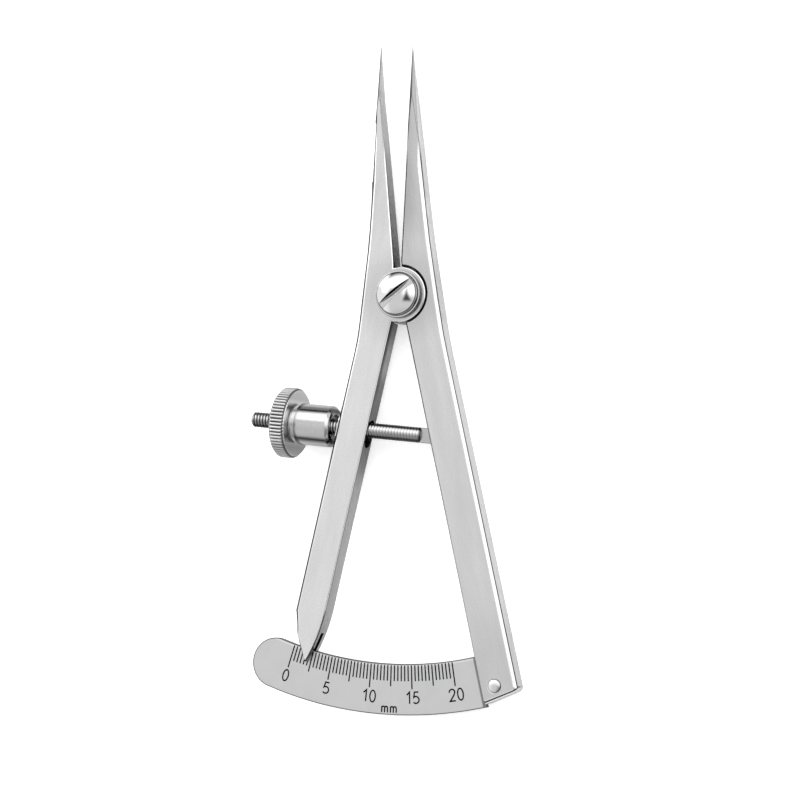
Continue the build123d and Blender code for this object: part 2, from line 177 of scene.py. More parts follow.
class NodeSheet:
    """The node tree of one material or of the world."""

    def __init__(self, tree: bpy.types.NodeTree) -> None:
        """Starts on an emptied tree."""
        self.tree = tree
        tree.nodes.clear()

    def node(self, kind: str, sockets: Sockets, **settings: Any) -> bpy.types.Node:
        """Adds a node.

        Args:
            kind: The node's type name.
            sockets: Values or links of its input sockets, by name or number.
            settings: Its own settings, which are set first.

        Returns:
            The new node.
        """
        node = self.tree.nodes.new(kind)
        for key, value in settings.items():
            setattr(node, key, value)
        for key, value in sockets.items():
            if isinstance(value, Signal):
                self.tree.links.new(value.socket, node.inputs[key])
            else:
                node.inputs[key].default_value = value
        return node

    def out(self, kind: str, output: Any, sockets: Sockets, **settings: Any) -> Signal:
        """Adds a node and returns one of its outputs."""
        return Signal(self, self.node(kind, sockets, **settings).outputs[output])

    def math(self, operation: str, first: Any, second: Any) -> Signal:
        """Adds a Math node on two values."""
        return self.out("ShaderNodeMath", 0, {0: first, 1: second}, operation=operation)

    def vector_math(self, operation: str, output: str, first: Any, second: Any) -> Signal:
        """Adds a Vector Math node on two vectors."""
        return self.out("ShaderNodeVectorMath", output, {0: first, 1: second}, operation=operation)

    def millimetres(self) -> Signal:
        """The surface's own place in the row's frame, in millimetres."""
        place = self.out("ShaderNodeTexCoord", "Object", {})
        return self.vector_math("MULTIPLY", "Vector", place, (1 / MM, 1 / MM, 1 / MM))

    def normal(self) -> Signal:
        """The surface's own normal."""
        return self.out("ShaderNodeNewGeometry", "Normal", {})

    def seen(self) -> Signal:
        """1 where the camera looks straight at the surface or the world."""
        return self.out("ShaderNodeLightPath", "Is Camera Ray", {})

    def parts(self, vector: Signal) -> Parts:
        """The three numbers of a vector."""
        node = self.node("ShaderNodeSeparateXYZ", {0: vector})
        return Parts(*(Signal(self, socket) for socket in node.outputs))

    def turned(self, vector: Signal, angle: float, centre: Triple = ORIGIN) -> Signal:
        """A place counted from a centre, in a frame turned by an angle about Z."""
        moved = self.vector_math("SUBTRACT", "Vector", vector, centre)
        return self.out("ShaderNodeMapping", 0, {"Vector": moved, "Rotation": (0, 0, -angle)})

    def noise(self, vector: Signal, grain: Grain) -> Signal:
        """Noise from 0 to 1."""
        scaled = self.vector_math("MULTIPLY", "Vector", vector, grain.stretch)
        sockets = {"Vector": scaled, "Scale": 1.0, "Detail": grain.detail, "Roughness": grain.roughness}
        return self.out("ShaderNodeTexNoise", 0, sockets)

    def grey(self, value: Signal, tint: Triple = (1.0, 1.0, 1.0)) -> Signal:
        """A colour of one brightness, with a slight tint."""
        sockets = {"Red": value * tint[0], "Green": value * tint[1], "Blue": value * tint[2]}
        return self.out("ShaderNodeCombineColor", 0, sockets)

    def rounded(self, radius: float) -> Signal:
        """Normal that turns smoothly over every edge within a radius in millimetres."""
        return self.out("ShaderNodeBevel", 0, {"Radius": radius * MM}, samples=8)

    def edge(self, radius: float) -> Signal:
        """How far that normal leans away from the surface's own."""
        match = self.vector_math("DOT_PRODUCT", "Value", self.rounded(radius), self.normal())
        return 1.0 - match

    def bumped(self, height: Signal, depth: float, normal: Signal) -> Signal:
        """A normal with fine relief from 0 to 1, of a depth in millimetres."""
        sockets = {"Height": height, "Distance": depth * MM, "Strength": 1.0, "Normal": normal}
        return self.out("ShaderNodeBump", 0, sockets)


def new_material(name: str, sockets_on: Callable[[NodeSheet], Sockets]) -> Material:
    """Material of one Principled shader, whose sockets are worked out on its own sheet."""
    material = bpy.data.materials.new(name)
    material.use_nodes = True
    sheet = NodeSheet(material.node_tree)
    shader = sheet.out("ShaderNodeBsdfPrincipled", 0, sockets_on(sheet))
    sheet.node("ShaderNodeOutputMaterial", {"Surface": shader})
    return material


@dataclass(frozen=True, kw_only=True)
class SteelFinish:
    """Base of the finishes: grainy metal, with the painted shade, painted highlights and paint that each
    finish adds.

    A span runs from where a mask is 0 to where it is 1, and a shade is the share of the
    brightness that is lost where its mask is 1, as painted shade.
    """

    base: float
    rough: float
    grains: tuple[Grain, ...]
    grain_depth: float
    edge_radius: float = 0.0
    tint: Triple = (1.0, 1.0, 1.008)

    def material(self, name: str) -> Material:
        """Makes the material, under a name."""
        return new_material(name, self.sockets)

    def sockets(self, sheet: NodeSheet) -> Sockets:
        """The metal shader's sockets: even steel, then its grains, then its painted shade, painted
        highlights and other marks.
        """
        place = self.place(sheet)
        light, gloss, relief = self.base, self.rough, 0.0
        for grain in self.grains:
            noise = sheet.noise(place, grain)
            light = (noise - 0.5) * grain.light + light
            gloss = (noise - 0.5) * grain.gloss + gloss
            relief = noise * grain.relief + relief
        light, gloss = self.marked(sheet, light, gloss)
        normal = sheet.rounded(self.edge_radius) if self.edge_radius else sheet.normal()
        return {
            "Base Color": sheet.grey(light, self.tint),
            "Metallic": 1.0,
            "Roughness": gloss,
            "Normal": sheet.bumped(relief, self.grain_depth, normal),
        }

    def place(self, sheet: NodeSheet) -> Signal:
        """Where on the surface the grains are looked up."""
        return sheet.millimetres()

    def marked(self, sheet: NodeSheet, light: Signal, gloss: Signal) -> Pair:
        """Brightness and roughness with the finish's own marks, most of them painted shade and painted
        highlights.
        """
        raise NotImplementedError


@dataclass(frozen=True, kw_only=True)
class LegSteel(SteelFinish):
    """Satin steel brushed along the leg, with painted highlights on its polished rims and painted shade as
    dark edge lines.

    Lines and rims lie where the rounded edge's normal stands in a band of heights. A reach
    is a span along Y. The shares scale the brightness on the upright sides, as painted shade, or painted
    light where above 1. The other shades are painted shade too: by the rod, the waist and the pivot, on the
    ground facets, in the slot and at the arm's end.
    """

    side: Side
    lean: float
    rough: float = 0.27
    grains: tuple[Grain, ...] = (
        Grain((11.0, 0.30, 11.0), 5.0, 0.62, light=0.06, gloss=0.12, relief=0.6),
        Grain((38.0, 0.8, 38.0), 2.0, light=0.02, relief=0.4),
        Grain((0.5, 0.09, 0.5), 3.0, light=0.11, gloss=0.06),
    )
    grain_depth: float = 0.0010
    needle_reach: Span = (20.0, 25.0)
    outer_reach: Span = (25.0, 20.0)
    outer_line: Band = ((0.0, 0.06), (0.5, 0.42))
    inner_line: Band = ((0.25, 0.35), (0.99, 0.95))
    line_shade: float = 0.95
    rim_foot: Span = (0.05, 0.1)
    # painted highlight added to the colour on the outer and the inner rims
    rim_highlight: float = 0.3
    inner_rim_highlight: float = 0.0
    rim_polish: float = 0.12
    end_raise: float = 0.66
    end_rim_shade: float = 0.5
    tail_reach: Span = (-47.5, -49.0)
    tail_raise: float = 0.0
    prong_reach: Span = (9.0, 22.0)
    inner_share: float = 0.78
    outer_share: float = 1.2
    prong_inner_share: float = 0.74
    prong_outer_share: float = 1.25
    rod_reach: Band = ((-11.0, -14.0), (-30.0, -25.0))
    rod_shade: float = 0.5
    waist_reach: Span = (-9.0, -5.0)
    waist_shade: float = 0.25
    facet_shades: Span = (0.5, 0.23)
    far_reach: Span = (24.0, 26.0)
    far_shade: float = 0.6
    front_reach: Span = (3.0, 14.0)
    front_shares: Span = (0.7, 0.6)
    prong_shade: float = 0.2
    prong_inner_edge: float = -20.0
    prong_inner_width: float = 2.2
    ridge_radius: float = 0.15
    ridge_shade: float = 0.5
    arm_end_reach: Span = (-46.0, -54.0)
    arm_end_shade: float = 0.0
    pivot_ring: Span = (9.5, 4.0)
    pivot_shade: float = 0.16
    slot_levels: Band = ((0.95, 0.99), (2.05, 2.01))
    slot_reach: Span = (-51.5, -51.6)
    slot_shade: float = 0.0

    def place(self, sheet: NodeSheet) -> Signal:
        """The streaks follow the leg."""
        return sheet.turned(sheet.millimetres(), self.side.value * self.lean)

    def edges(self, place: Parts, normal: Parts, needle: Signal) -> tuple[Signal, Signal, Signal]:
        """Masks of the painted dark edge lines and of the painted highlights on the outer and inner rims, on
        the rounded front edges.

        The outer line climbs the edge where the outline turns towards the leg's end, and
        the inner line widens along the tail.
        """
        up, outward = normal.z, normal.x * self.side.value
        outer = outward.step(0.02, 0.05) * place.y.step(*self.outer_reach)
        inner = outward.step(-0.02, -0.05) * (1.0 - needle)
        level = normal.x.diagonal(normal.y).most(0.01)
        end = (-normal.y * level**-1.0).step(0.0, 0.9) * outer
        outer_line = outer * (up - end * self.end_raise).band(*self.outer_line)
        outer_line = outer_line.dimmed(end, up.step(0.88, 0.93))
        lowered = up - place.y.step(*self.tail_reach) * self.tail_raise
        inner_line = inner * up.step(*self.inner_line[0]) * lowered.step(*self.inner_line[1])
        rim = (outer * up.band((0.9995, 0.95), self.rim_foot)).dimmed(end, self.end_rim_shade)
        thin_rim = inner * up.band((0.9995, 0.98), self.rim_foot)
        return outer_line.most(inner_line), rim, thin_rim

    def sides(self, place: Parts, normal: Parts) -> Signal:
        """Painted shade and light on the upright sides: their share of the brightness, less again as painted
        shadow by the rod and the waist.
        """
        upright, outward = normal.z.step(0.12, 0.04), normal.x * self.side.value
        prong = place.y.step(*self.prong_reach)
        by_rod, by_waist = place.y.band(*self.rod_reach), place.y.step(*self.waist_reach)
        # painted shadow by the rod and the waist on the inner side
        inner = (1.0 - by_rod * self.rod_shade) * self.inner_share
        inner = inner.dimmed(by_waist, self.waist_shade) * (1.0 - prong) + prong * self.prong_inner_share
        outer = (1.0 - prong) * self.outer_share + prong * self.prong_outer_share
        inner_side = upright * outward.step(-0.3, -0.6)
        outer_side = upright * outward.step(0.1, 0.2)
        return 1.0 - inner_side * (1.0 - inner) - outer_side * (1.0 - outer)

    def point(self, place: Parts, normal: Parts, needle: Signal) -> Signal:
        """Painted shade on the ground facets, deeper on the left-facing ones, and on the prong's front."""
        facet = normal.z.band((0.95, 0.88), (0.5, 0.65)) * needle
        every, left = self.facet_shades
        share = 1.0 - facet * (normal.x.step(-0.2, -0.5) * left + every)
        share = share.dimmed(normal.x.step(-0.1, -0.3) * place.y.step(*self.far_reach), self.far_shade)
        front = normal.z.step(0.95, 0.99) * place.y.step(*self.front_reach)
        inner_edge = place.x.step(self.prong_inner_edge + self.prong_inner_width, self.prong_inner_edge)
        every, beside = self.front_shares
        return share.dimmed(front * (inner_edge * beside + every), self.prong_shade)

    def marked(self, sheet: NodeSheet, light: Signal, gloss: Signal) -> Pair:
        """Painted rim highlights, painted dark edge lines and painted shade on the sides follow from the
        normal; then painted shade at the arm's end, in the slot, on the point's ridges and round the pivot.
        """
        place, normal = sheet.parts(sheet.millimetres()), sheet.parts(sheet.normal())
        needle = place.y.step(*self.needle_reach)
        line, rim, thin_rim = self.edges(place, normal, needle)
        slot = place.z.band(*self.slot_levels) * place.y.step(*self.slot_reach)
        # painted highlight on the rims, then painted shade on the sides and on the point
        light = (light + rim * self.rim_highlight + thin_rim * self.inner_rim_highlight) * self.sides(place, normal)
        light = light * self.point(place, normal, needle)
        # painted shade: dark edge lines, the arm's end, the pointer's slot, the point's ridges and a ring
        # round the pivot
        for mask, shade in (
            (line, self.line_shade),
            (place.y.step(*self.arm_end_reach), self.arm_end_shade),
            (slot, self.slot_shade),
            (sheet.edge(self.ridge_radius).step(0.001, 0.01) * needle, self.ridge_shade),
            (place.x.diagonal(place.y).step(*self.pivot_ring), self.pivot_shade),
        ):
            light = light.dimmed(mask, shade)
        return light, gloss - rim.most(thin_rim) * self.rim_polish


@dataclass(frozen=True, kw_only=True)
class ScaleSteel(SteelFinish):
    """Fine matt steel whose engraved marks are filled with black, with painted shade as a dark outline and
    as the fixed leg's shadow in the seam beside it, and a painted highlight along the inner edge.

    Spans count millimetres inwards from the plate's two arcs.
    """

    top: float
    inner_radius: float
    outer_radius: float
    first_angle: float
    base: float = 0.52
    rough: float = 0.36
    grains: tuple[Grain, ...] = (
        Grain((9.0, 9.0, 9.0), 4.0, 0.65, light=0.04, gloss=0.1, relief=1.0),
        Grain((0.35, 0.35, 0.35), 2.0, light=0.05),
    )
    grain_depth: float = 0.0012
    edge_radius: float = 0.08
    engraving_depth: float = 0.08
    marks_inside: Span = (0.05, 0.12)
    paint_spread: float = 0.075
    paint_shade: float = 0.985
    paint_rough: float = 0.6
    edge_line: Span = (0.2, 0.08)
    edge_shade: float = 0.86
    lit_edge: Band = ((0.5, 0.35), (0.16, 0.26))
    lit_gain: float = 0.12
    cap_angle: float = math.radians(-20.6)
    turn_blur: float = 0.01
    leg_lean: float = math.radians(12.3)
    seam: Span = (-0.72, -0.4832)
    seam_relief: float = 0.25

    def marked(self, sheet: NodeSheet, light: Signal, gloss: Signal) -> Pair:
        """The paint lies wherever the surface is sunk below the face, away from the plate's rim."""
        x, y, z = sheet.parts(sheet.millimetres())
        radius, angle = x.diagonal(y), sheet.math("ARCTAN2", x, -y)
        outward, inward = radius - self.inner_radius, self.outer_radius - radius
        inside = outward.step(*self.marks_inside) * inward.step(*self.marks_inside)
        inside = inside * angle.step(self.first_angle - self.turn_blur, self.first_angle)
        depth = self.top - z
        sunk = depth.step(0.012, 0.03) * (depth - self.engraving_depth).step(0.02, 0.01)
        paint = sunk.most(sheet.edge(self.paint_spread).step(0.002, 0.02)) * inside

        # painted shade: a dark line round the plate's outline and its rounded edges
        middle = (self.inner_radius + self.outer_radius) / 2
        half = (self.outer_radius - self.inner_radius) / 2
        cap_x, cap_y = middle * math.sin(self.cap_angle), -middle * math.cos(self.cap_angle)
        round_end = (half - (x - cap_x).diagonal(y - cap_y)).step(*self.edge_line)
        rim = round_end * angle.step(self.cap_angle, self.cap_angle - self.turn_blur)
        rim = rim.most(inward.step(*self.edge_line)).most(outward.step(*self.edge_line))
        rim = rim.most(sheet.parts(sheet.rounded(self.edge_radius)).z.step(0.6, 0.4))
        # painted shadow of the fixed leg, in the seam beside it
        behind = sheet.parts(sheet.turned(sheet.millimetres(), self.leg_lean)).x
        seam = behind.step(*self.seam).dimmed(inside, self.seam_relief)

        # painted highlight along the inner edge
        light = light + outward.band(*self.lit_edge) * self.lit_gain
        light = light.dimmed(paint, self.paint_shade).dimmed(rim.most(seam), self.edge_shade)
        return light, gloss * (1.0 - paint) + paint * self.paint_rough


@dataclass(frozen=True, kw_only=True)
class PolishedSteel(SteelFinish):
    """Mirror polished steel whose faint wiping marks hardly bend the light.

    Rings are painted dark lines of shade about a centre, each with a radius and half a width. The
    painted crescent of shade darkens the lower right of a small dome. A slot has painted shade on its walls
    and a thin painted dark line under it.
    """

    base: float = 0.57
    rough: float = 0.07
    grains: tuple[Grain, ...] = (
        Grain((0.8, 0.8, 0.8), 3.0, light=0.06, gloss=0.05),
        Grain((14.0, 3.0, 9.0), 4.0, 0.6, gloss=0.05, relief=1.0),
    )
    grain_depth: float = 0.0003
    edge_radius: float = 0.06
    centre: Span = (0.0, 0.0)
    dark_rings: tuple[Span, ...] = ()
    ring_core: float = 0.3
    ring_shade: float = 0.82
    crescent_radius: float = 0.0
    crescent_span: Span = (0.55, 0.85)
    crescent_shade: float = 0.55
    slot_angle: float = 0.0
    slot_reach: float = 0.0
    slot_shade: float = 0.97
    lip_distance: float = 0.07
    lip_shade: float = 0.5

    def marked(self, sheet: NodeSheet, light: Signal, gloss: Signal) -> Pair:
        """Painted shade: rings and crescent about the centre, then the slot's walls and the line under it.
        """
        place = sheet.millimetres()
        x, y, _ = sheet.parts(place)
        x, y = x - self.centre[0], y - self.centre[1]
        # painted rings of shade about the centre
        for middle, half in self.dark_rings:
            from_ring = (x.diagonal(y) - middle).size()
            light = light.dimmed(from_ring.step(half, half * self.ring_core), self.ring_shade)
        if self.crescent_radius:
            start, full = (self.crescent_radius * share for share in self.crescent_span)
            light = light.dimmed((x * 0.8 - y * 0.6).step(start, full), self.crescent_shade)
        if self.slot_reach:
            across = sheet.parts(sheet.turned(place, self.slot_angle)).y
            facing = sheet.parts(sheet.normal()).z
            wall = (across * across).step(self.slot_reach**2 * 1.2, self.slot_reach**2 * 1.1)
            below = across + (self.slot_reach + self.lip_distance)
            light = light.dimmed(wall * (facing * facing).step(0.3, 0.1), self.slot_shade)
            light = light.dimmed((below * below).step(0.004, 0.001), self.lip_shade)
        return light, gloss


@dataclass(frozen=True, kw_only=True)
class TurnedSteel(SteelFinish):
    """Steel turned about the cross screw's axis, with painted shade where the surface sinks.

    The flanks lie at the two sides of the axis as seen from the front, and count in crest
    radii. The low part faces away from the needle points. Flanks and low part get painted shade too.
    """

    centre: Triple
    angle: float
    crest_radius: float
    root_radius: float
    grains: tuple[Grain, ...] = (
        Grain((16.0, 0.4, 0.4), 3.0, 0.6, gloss=0.06, relief=1.0),
        Grain((1.3, 1.3, 1.3), 3.0, light=0.08, gloss=0.05),
    )
    grain_depth: float = 0.0006
    edge_radius: float = 0.03
    root_blur: Span = (0.14, 0.04)
    root_shade: float = 0.0
    groove_rough: float = 0.15
    flank: Span = (0.56, 0.7)
    flank_edge: Span = (0.78, 0.9)
    flank_shade: float = 0.0
    flank_relief: float = 0.0
    low_share: float = 0.3
    low_shade: float = 0.0

    def place(self, sheet: NodeSheet) -> Signal:
        """The rings run round the axis."""
        return sheet.turned(sheet.millimetres(), self.angle, self.centre)

    def marked(self, sheet: NodeSheet, light: Signal, gloss: Signal) -> Pair:
        """Painted shade in the grooves between the radii, on the flanks and on the low part; the grooves are
        also rougher.
        """
        _, across, up = sheet.parts(self.place(sheet))
        radius = across.diagonal(up)
        axis = (math.cos(self.angle), math.sin(self.angle), 0.0)
        ahead = sheet.vector_math("DOT_PRODUCT", "Value", sheet.normal(), axis)
        groove = radius.step(self.crest_radius, self.root_radius) * (ahead * ahead).step(0.8, 0.56)
        groove = groove * radius.step(*(self.root_radius - below for below in self.root_blur))
        aside = across.size() * (1.0 / self.crest_radius)
        flank = aside.step(*self.flank).dimmed(aside.step(*self.flank_edge), self.flank_relief)
        low = across.step(0.0, self.crest_radius * self.low_share)
        # painted shade in the grooves, on the flanks and on the low part
        light = light.dimmed(groove, self.root_shade).dimmed(flank, self.flank_shade)
        return light.dimmed(low, self.low_shade), gloss + groove * self.groove_rough


@dataclass(frozen=True)
class Spindle:
    """A turning axis: a point on it and three directions at right angles, in millimetres."""

    centre: np.ndarray
    along: np.ndarray
    across: np.ndarray
    up: np.ndarray

    @classmethod
    def through(cls, centre: Sequence[float], along: Sequence[float], up: Sequence[float]) -> "Spindle":
        """Spindle through a centre, with its own direction and one at right angles to it."""
        along_unit = np.asarray(along, float) / np.linalg.norm(along)
        up_unit = np.asarray(up, float) / np.linalg.norm(up)
        return cls(np.asarray(centre, float), along_unit, np.cross(up_unit, along_unit), up_unit)

    @classmethod
    def facing_front(cls, x: float = 0.0, y: float = 0.0) -> "Spindle":
        """Spindle along Z."""
        return cls.through((x, y, 0), (0, 0, 1), (0, 1, 0))

    def points(self, distance: np.ndarray, radius: np.ndarray, angle: np.ndarray) -> np.ndarray:
        """Points at a distance along the axis, and a radius from it at an angle from across to up."""
        sideways = np.cos(angle)[..., None] * self.across + np.sin(angle)[..., None] * self.up
        return self.centre + distance[..., None] * self.along + radius[..., None] * sideways

    def reach(self, node: str) -> Triple:
        """Lowest and highest distance of a CAD node along the axis, and its largest radius."""
        mesh = frame["nodes"][node].data
        flat = np.empty(len(mesh.vertices) * 3)
        mesh.vertices.foreach_get("co", flat)
        away = flat.reshape(-1, 3) / MM - self.centre
        distance = away @ self.along
        radius = np.linalg.norm(away - distance[:, None] * self.along, axis=1)
        return float(distance.min()), float(distance.max()), float(radius.max())


def box_mm(node: str) -> tuple[np.ndarray, np.ndarray]:
    """Lowest and highest corner of a CAD node's box, in millimetres."""
    low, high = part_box(node)
    return np.array(low, float) / MM, np.array(high, float) / MM


def round_turn(sectors: int) -> np.ndarray:
    """Evenly spaced angles of one turn, in one row."""
    return np.linspace(0, TURN, sectors, endpoint=False)[None, :]


def softened(corners: Sequence[Span], cuts: Cuts, steps: int = 4) -> np.ndarray:
    """Closed outline with each corner replaced by a small parabola.

    A parabola starts and ends at a distance, cut, from its corner, or at 45 percent of the
    shorter side there, and leans on the corner: (1-t)^2 start + 2t(1-t) corner + t^2 end.

    Args:
        corners: The outline's corners.
        cuts: The distance for each corner.
        steps: Pieces in each parabola.

    Returns:
        The outline's points, in the same order.
    """
    corner = np.asarray(corners, float)
    before = np.roll(corner, 1, axis=0) - corner
    after = np.roll(corner, -1, axis=0) - corner
    long_before = np.linalg.norm(before, axis=1)
    long_after = np.linalg.norm(after, axis=1)
    size = np.minimum(cuts, 0.45 * np.minimum(long_before, long_after))
    start = corner + before * (size / long_before)[:, None]
    end = corner + after * (size / long_after)[:, None]
    t = np.linspace(0, 1, steps + 1)[None, :, None]
    curve = (1 - t) ** 2 * start[:, None] + 2 * t * (1 - t) * corner[:, None] + t**2 * end[:, None]
    points = curve.reshape(-1, 2)
    apart = np.linalg.norm(points - np.roll(points, 1, axis=0), axis=1) > 1e-6
    return points[apart]


def placed(name: str, data: bpy.types.ID) -> Piece:
    """New object at the origin, in the scene."""
    made = bpy.data.objects.new(name, data)
    bpy.context.scene.collection.objects.link(made)
    return made


def finish_mesh(piece: Piece, sharp_angle: float) -> None:
    """Merges doubles, points the faces outwards and smooths all but the sharp edges."""
    edit = bmesh.new()
    edit.from_mesh(piece.data)
    bmesh.ops.remove_doubles(edit, verts=edit.verts, dist=1e-7)
    bmesh.ops.recalc_face_normals(edit, faces=edit.faces)
    edit.to_mesh(piece.data)
    edit.free()
    piece.data.shade_smooth()
    piece.data.set_sharp_from_angle(angle=math.radians(sharp_angle))


def ringed_piece(name: str, rings: np.ndarray, closed: bool) -> Piece:
    """Skin over a stack of closed rings of points.

    Args:
        name: The object's name.
        rings: Points in millimetres, ring by ring, of shape rings by points by 3.
        closed: Whether the last ring joins the first. If not, each end gets a flat face.

    Returns:
        The piece, with its faces pointing outwards.
    """
    rows, columns, _ = rings.shape
    row, column = np.meshgrid(np.arange(rows if closed else rows - 1), np.arange(columns), indexing="ij")
    right, here, below = (column + 1) % columns, row * columns, (row + 1) % rows * columns
    corners = [here + column, here + right, below + right, below + column]
    faces = np.stack(corners, axis=-1).reshape(-1, 4).tolist()
    if not closed:
        faces.append(list(range(columns)))
        faces.append(list(range((rows - 1) * columns, rows * columns)))
    mesh = bpy.data.meshes.new(name)
    mesh.from_pydata((rings.reshape(-1, 3) * MM).tolist(), [], faces)
    mesh.validate()
    piece = placed(name, mesh)
    finish_mesh(piece, 40.0)
    return piece


def turned_piece(
    name: str, spindle: Spindle, corners: Sequence[Span], cuts: Cuts, sectors: int
) -> Piece:
    """Ring turned round a spindle from a softened loop of (distance along, radius) corners."""
    profile = softened(corners, cuts)
    rings = spindle.points(profile[:, :1], profile[:, 1:], round_turn(sectors))
    return ringed_piece(name, rings, True)


def domed_piece(
    name: str, spindle: Spindle, foot: Sequence[Span], top: float, cuts: Cuts,
    steps: int, sectors: int,
) -> Piece:
    """Solid turned round a spindle, with a dome on its foot.

    The dome is an arc: its height over the rim is the cap's radius times 1 less the cosine,
    so that it meets the axis level.

    Args:
        name: The object's name.
        spindle: The axis that it is turned about.
        foot: Corners up to the dome's rim, as (distance along, radius).
        top: Distance along the axis at which the dome ends.
        cuts: How far each corner of the foot is softened.
        steps: Points on the dome.
        sectors: Steps round the axis.

    Returns:
        The piece.
    """
    rim, radius = foot[-1]
    rise = top - rim
    cap = (radius**2 + rise**2) / (2 * rise)
    turn = np.linspace(math.asin(radius / cap), 0.0, steps)[1:]
    dome = np.stack([top - cap * (1 - np.cos(turn)), cap * np.sin(turn)], axis=1)
    profile = softened(np.concatenate([foot, dome]), np.append(cuts, np.zeros(len(dome))))
    radii = np.maximum(profile[:, 1:], 1e-4)
    return ringed_piece(name, spindle.points(profile[:, :1], radii, round_turn(sectors)), False)


def apply_modifiers(piece: Piece) -> None:
    """Replaces the piece's mesh by what its modifiers make of it."""
    bpy.context.view_layer.update()
    graph = bpy.context.evaluated_depsgraph_get()
    made = bpy.data.meshes.new_from_object(piece.evaluated_get(graph))
    piece.modifiers.clear()
    piece.data = made


def cut_away(piece: Piece, cutter: Piece) -> None:
    """Takes a cutter's shape out of a piece, and deletes the cutter."""
    tool = piece.modifiers.new("cut", "BOOLEAN")
    tool.operation = "DIFFERENCE"
    tool.solver = "EXACT"
    tool.object = cutter
    apply_modifiers(piece)
    bpy.data.objects.remove(cutter)


def soften_piece(piece: Piece, width: float, angle: float = 35.0) -> None:
    """Rounds the piece's sharp edges by a width in millimetres."""
    bevel = piece.modifiers.new("soften", "BEVEL")
    bevel.width = width * MM
    bevel.segments = 2
    bevel.limit_method = "ANGLE"
    bevel.angle_limit = math.radians(angle)
    bevel.use_clamp_overlap = True
    apply_modifiers(piece)
    finish_mesh(piece, angle)


def dress(piece: Piece, material: Material) -> None:
    """Gives every face of a piece one material."""
    piece.data.materials.clear()
    piece.data.materials.append(material)


def dress_node(node: str, material: Material) -> None:
    """Gives a CAD node's object a material in all its slots."""
    for slot in frame["nodes"][node].material_slots:
        slot.material = material


def joint(name: str) -> Mapping[str, Any]:
    """The record's joint of that name."""
    return next(entry for entry in frame["joints"] if entry["name"] == name)


def settle(piece: Piece, material: Material, body: str, nodes: Sequence[str]) -> None:
    """Dresses a finished piece, hangs it on the empty of the body it rides on, and hides the CAD nodes it
    replaces.
    """
    dress(piece, material)
    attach(piece, body)
    if nodes:
        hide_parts(*nodes)
    LOG.info("%s rides on %s, %d faces", piece.name, body, len(piece.data.polygons))


@dataclass
class Leg:
    """One leg: a copy of its solid whose front edges are rounded.

    The outer edge's rim ends at rim_bottom, the hole's and the lobe's edges aren't part of
    it, and above needle_start the point keeps its ground edges.
    """

    node: str
    body: str
    finish: LegSteel
    rim_width: float
    inner_width: float
    rim_bottom: float
    needle_start: float = 27.7
    front_start: float = 2.6
    rim_segments: int = 6
    inner_segments: int = 3
    hole_radius: float = 2.3
    lobe_radius: float = 4.6
    merge_distance: float = 0.002
    flat_angle: float = 0.05
    front_share: float = 0.95
    wall_share: float = 0.2
    outward_share: float = 0.1
    level_share: float = 0.995
    sharp_angle: float = 38.0
    normal_weight: int = 80

    def front_edges(self, mesh: bmesh.types.BMesh, outer: bool) -> list[bmesh.types.BMEdge]:
        """Edges between the front face and an upright side.

        Args:
            mesh: The leg's mesh, in metres.
            outer: Whether the outer side's edges are wanted, or the others.

        Returns:
            The edges.
        """
        chosen = []
        for edge in mesh.edges:
            if len(edge.link_faces) != 2:
                continue
            wall, front = sorted(edge.link_faces, key=lambda face: face.normal.z)
            if front.normal.z <= self.front_share or abs(wall.normal.z) >= self.wall_share:
                continue
            middle = (edge.verts[0].co + edge.verts[1].co) / 2 / MM
            if middle.xy.length < self.hole_radius or middle.z < self.front_start:
                continue
            if max(vertex.co.y for vertex in edge.verts) / MM > self.needle_start:
                continue
            faces_out = wall.normal.x * self.finish.side.value > self.outward_share
            faces_out = faces_out and middle.y > self.rim_bottom and middle.xy.length > self.lobe_radius
            if faces_out == outer:
                chosen.append(edge)
        return chosen

    def build(self) -> None:
        """Copies the solid, rounds its edges and dresses it."""
        mesh = frame["nodes"][self.node].data.copy()
        mesh.materials.clear()
        piece = placed(f"{self.node}_rounded", mesh)
        edit = bmesh.new()
        edit.from_mesh(mesh)
        merge, flat = self.merge_distance * MM, math.radians(self.flat_angle)
        bmesh.ops.remove_doubles(edit, verts=edit.verts, dist=merge)
        bmesh.ops.dissolve_limit(edit, angle_limit=flat, verts=edit.verts, edges=edit.edges)
        for outer, width, segments in (
            (True, self.rim_width, self.rim_segments),
            (False, self.inner_width, self.inner_segments),
        ):
            edges = self.front_edges(edit, outer)
            LOG.info("%s: %d edges rounded by %.2f mm", self.node, len(edges), width)
            bmesh.ops.bevel(
                edit, geom=edges, offset=width * MM, offset_type="OFFSET", segments=segments,
                profile=0.5, affect="EDGES", clamp_overlap=False,
            )
            edit.normal_update()
        bmesh.ops.triangulate(edit, faces=edit.faces)
        bmesh.ops.dissolve_degenerate(edit, edges=edit.edges, dist=merge)
        bmesh.ops.triangulate(edit, faces=edit.faces)
        edit.normal_update()
        for face in edit.faces:
            face.smooth = True
        sharp = math.radians(self.sharp_angle)
        for edge in edit.edges:
            level = max(abs(face.normal.z) for face in edge.link_faces)
            edge.smooth = level < self.level_share and edge.calc_face_angle(math.pi) < sharp
        edit.to_mesh(mesh)
        edit.free()
        weigh = piece.modifiers.new("weigh", "WEIGHTED_NORMAL")
        weigh.keep_sharp = True
        weigh.weight = self.normal_weight
        apply_modifiers(piece)
        settle(piece, self.finish.material(f"{self.node}_satin"), self.body, [self.node])


